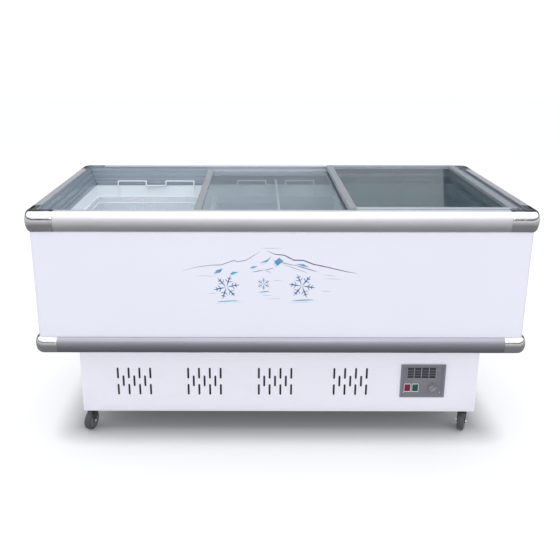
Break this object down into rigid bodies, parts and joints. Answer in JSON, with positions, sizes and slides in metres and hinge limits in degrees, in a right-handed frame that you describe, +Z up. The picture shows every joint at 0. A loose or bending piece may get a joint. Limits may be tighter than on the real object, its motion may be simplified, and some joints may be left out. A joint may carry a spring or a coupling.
{
  "type": "chest freezer",
  "caption": "Island chest freezer for a shop floor: insulated tank with sliding glass lids on stepped tracks, hanging wire baskets and a plinth on swivel casters.",
  "frame": {"origin": "on the floor, under the centre of the cabinet", "axes": "+X along the length to the customer's right, +Y towards the back, +Z up"},
  "size_m": [1.792, 0.846, 0.9407],
  "materials": {
    "white_enamel": "smooth white enamelled sheet steel, faintly orange-peeled",
    "rail_aluminium": "satin anodised extrusion",
    "cap_chrome": "chrome-plated moulded plastic",
    "track_aluminium": "satin anodised extrusion, blue-grey",
    "liner_white": "white coated embossed sheet",
    "foam": null,
    "copper": "drawn copper tube",
    "lid_aluminium": "satin anodised extrusion",
    "lid_glass": "tempered low-emissivity pane, grey-blue cast",
    "basket_white": "white plastic-coated wire",
    "tie_bar_white": "white coated bar",
    "tray_steel": "zinc-plated sheet steel",
    "panel_grey": "fine-textured grey moulding",
    "rocker_red": "translucent dark red moulding",
    "rocker_green": "translucent dark green moulding",
    "knob_grey": "satin grey moulding",
    "caster_black": "black coated pressed steel",
    "wheel_rubber": "dark grey tread",
    "compressor_black": "black painted pot",
    "fin_aluminium": "bare fins",
    "fan_black": "black moulding",
    "gland_black": "black moulding"
  },
  "bodies": {
    "cabinet": {"base_tray": "tray_steel", "basket_left": "basket_white", "basket_middle": "basket_white", "basket_right": "basket_white", "bottom_cap_front_left": "cap_chrome", "bottom_cap_front_right": "cap_chrome", "bottom_cap_rear_left": "cap_chrome", "bottom_cap_rear_right": "cap_chrome", "bottom_rail_front": "rail_aluminium", "bottom_rail_left": "rail_aluminium", "bottom_rail_rear": "rail_aluminium", "bottom_rail_right": "rail_aluminium", "cabinet_underside": "tray_steel", "centre_tie_bar": "tie_bar_white", "compressor": "compressor_black", "condenser": "fin_aluminium", "control_bezel": "panel_grey", "cord_gland": "gland_black", "evaporator_coil": "copper", "fan_shroud": "fan_black", "front_panel": "white_enamel", "insulation_foam": "foam", "left_end_panel": "white_enamel", "plinth_front": "white_enamel", "plinth_left": "white_enamel", "plinth_rear": "white_enamel", "plinth_right": "white_enamel", "rear_panel": "white_enamel", "right_end_panel": "white_enamel", "tank_liner": "liner_white", "top_cap_front_left": "cap_chrome", "top_cap_front_right": "cap_chrome", "top_cap_rear_left": "cap_chrome", "top_cap_rear_right": "cap_chrome", "top_rail_front": "rail_aluminium", "top_rail_left": "rail_aluminium", "top_rail_rear": "rail_aluminium", "top_rail_right": "rail_aluminium", "track_frame_front": "track_aluminium", "track_frame_left": "track_aluminium", "track_frame_rear": "track_aluminium", "track_frame_right": "track_aluminium"},
    "lid_left": {"lid_left_frame": "lid_aluminium", "lid_left_glass": "lid_glass"},
    "lid_middle": {"lid_middle_frame": "lid_aluminium", "lid_middle_glass": "lid_glass"},
    "lid_right": {"lid_right_frame": "lid_aluminium", "lid_right_glass": "lid_glass"},
    "swivel_front_left": {"caster_fork_front_left": "caster_black"},
    "swivel_front_right": {"caster_fork_front_right": "caster_black"},
    "swivel_rear_left": {"caster_fork_rear_left": "caster_black"},
    "swivel_rear_right": {"caster_fork_rear_right": "caster_black"},
    "wheel_front_left": {"caster_wheel_front_left": "wheel_rubber"},
    "wheel_front_right": {"caster_wheel_front_right": "wheel_rubber"},
    "wheel_rear_left": {"caster_wheel_rear_left": "wheel_rubber"},
    "wheel_rear_right": {"caster_wheel_rear_right": "wheel_rubber"},
    "rocker_red_body": {"rocker_red": "rocker_red"},
    "rocker_green_body": {"rocker_green": "rocker_green"},
    "knob_body": {"thermostat_knob": "knob_grey"},
    "fan_body": {"fan_rotor": "fan_black"}
  },
  "joints": [
    {"name": "lid_right_slide", "type": "slide", "parent": "cabinet", "child": "lid_right", "axis": [1, 0, 0], "range_m": [-1.0897, 0.0347]},
    {"name": "lid_middle_slide", "type": "slide", "parent": "cabinet", "child": "lid_middle", "axis": [1, 0, 0], "range_m": [-0.5365, 0.5755]},
    {"name": "lid_left_slide", "type": "slide", "parent": "cabinet", "child": "lid_left", "axis": [1, 0, 0], "range_m": [-1.0765, 0.0195]},
    {"name": "swivel_front_left_turn", "type": "hinge", "parent": "cabinet", "child": "swivel_front_left", "pos_m": [-0.738, -0.259, 0.0976], "axis": [0, 0, 1], "continuous": true},
    {"name": "swivel_front_right_turn", "type": "hinge", "parent": "cabinet", "child": "swivel_front_right", "pos_m": [0.738, -0.259, 0.0976], "axis": [0, 0, 1], "continuous": true},
    {"name": "swivel_rear_left_turn", "type": "hinge", "parent": "cabinet", "child": "swivel_rear_left", "pos_m": [-0.738, 0.259, 0.0976], "axis": [0, 0, 1], "continuous": true},
    {"name": "swivel_rear_right_turn", "type": "hinge", "parent": "cabinet", "child": "swivel_rear_right", "pos_m": [0.738, 0.259, 0.0976], "axis": [0, 0, 1], "continuous": true},
    {"name": "wheel_front_left_spin", "type": "hinge", "parent": "swivel_front_left", "child": "wheel_front_left", "pos_m": [-0.7448, -0.27992, 0.0375], "axis": [0.9511, -0.309, 0], "continuous": true},
    {"name": "wheel_front_right_spin", "type": "hinge", "parent": "swivel_front_right", "child": "wheel_front_right", "pos_m": [0.7287, -0.27894, 0.0375], "axis": [0.9063, -0.4226, 0], "continuous": true},
    {"name": "wheel_rear_left_spin", "type": "hinge", "parent": "swivel_rear_left", "child": "wheel_rear_left", "pos_m": [-0.73268, 0.23765, 0.0375], "axis": [0.9703, 0.2419, 0], "continuous": true},
    {"name": "wheel_rear_right_spin", "type": "hinge", "parent": "swivel_rear_right", "child": "wheel_rear_right", "pos_m": [0.73418, 0.23733, 0.0375], "axis": [0.9848, -0.1736, 0], "continuous": true},
    {"name": "rocker_red_tilt", "type": "hinge", "parent": "cabinet", "child": "rocker_red_body", "pos_m": [0.495, -0.3155, 0.2055], "axis": [1, 0, 0], "range_deg": [-16, 0]},
    {"name": "rocker_green_tilt", "type": "hinge", "parent": "cabinet", "child": "rocker_green_body", "pos_m": [0.525, -0.3155, 0.2055], "axis": [1, 0, 0], "range_deg": [-16, 0]},
    {"name": "thermostat_turn", "type": "hinge", "parent": "cabinet", "child": "knob_body", "pos_m": [0.592, -0.3185, 0.2055], "axis": [0, -1, 0], "range_deg": [-150, 120]},
    {"name": "fan_spin", "type": "hinge", "parent": "cabinet", "child": "fan_body", "pos_m": [0.1, 0, 0.25], "axis": [1, 0, 0], "continuous": true}
  ]
}
